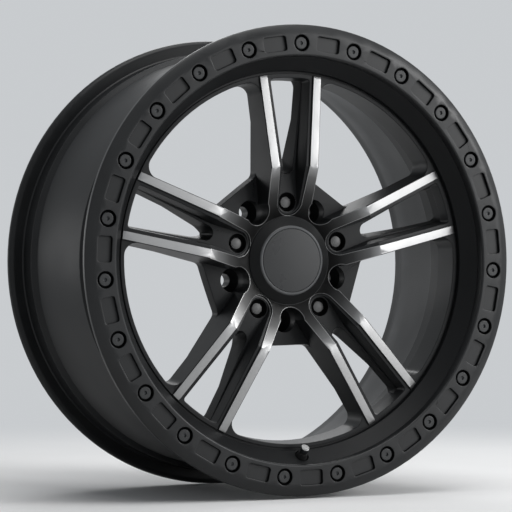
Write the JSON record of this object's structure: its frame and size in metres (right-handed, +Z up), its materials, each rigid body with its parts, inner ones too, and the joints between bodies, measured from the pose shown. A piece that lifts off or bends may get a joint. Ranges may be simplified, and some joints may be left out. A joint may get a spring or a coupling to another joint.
{
  "type": "beadlock wheel",
  "caption": "Satin black truck wheel with split spokes, a deep lip, a bolted beadlock ring round its front edge, a centre cap and a tyre valve.",
  "frame": {"origin": "centre of the mounting face, on the spin axis", "axes": "+Y along the spin axis, towards the vehicle; the front faces -Y; +Z up, with the valve low"},
  "size_m": [0.5474, 0.2526, 0.5472],
  "materials": {
    "satin_black_casting": "satin",
    "satin_black_ring": "satin",
    "bolt_steel": "satin",
    "insert_steel": "satin",
    "stud_steel": "satin",
    "cap_plastic": "satin",
    "cap_plate": "satin",
    "clip_steel": "satin",
    "valve_rubber": "matte",
    "valve_brass": "satin",
    "spring_steel": "satin",
    "valve_cap_metal": "polished",
    "seal_rubber": "matte"
  },
  "bodies": {
    "wheel": {"wheel": "satin_black_casting", "beadlock_ring": "satin_black_ring", "ring_bolts": "bolt_steel", "thread_inserts": "insert_steel", "spoke_studs": "stud_steel", "center_cap": "cap_plastic", "cap_plate": "cap_plate", "cap_clip": "clip_steel", "valve_rubber": "valve_rubber", "valve_stem": "valve_brass", "valve_core": "valve_brass", "valve_spring": "spring_steel"},
    "valve_cap": {"valve_cap": "valve_cap_metal", "valve_cap_seal": "seal_rubber"},
    "valve_pin": {"valve_pin": "valve_brass"}
  },
  "joints": [
    {"name": "valve_cap_off", "type": "slide", "parent": "wheel", "child": "valve_cap", "axis": [-0.0173, -0.7071, 0.7069], "range_m": [0, 0.012]},
    {"name": "valve_pin_press", "type": "slide", "parent": "wheel", "child": "valve_pin", "axis": [0.0173, 0.7071, -0.7069], "range_m": [0, 0.0012], "stiffness_N_per_m": 150, "springref_m": -0.004}
  ]
}
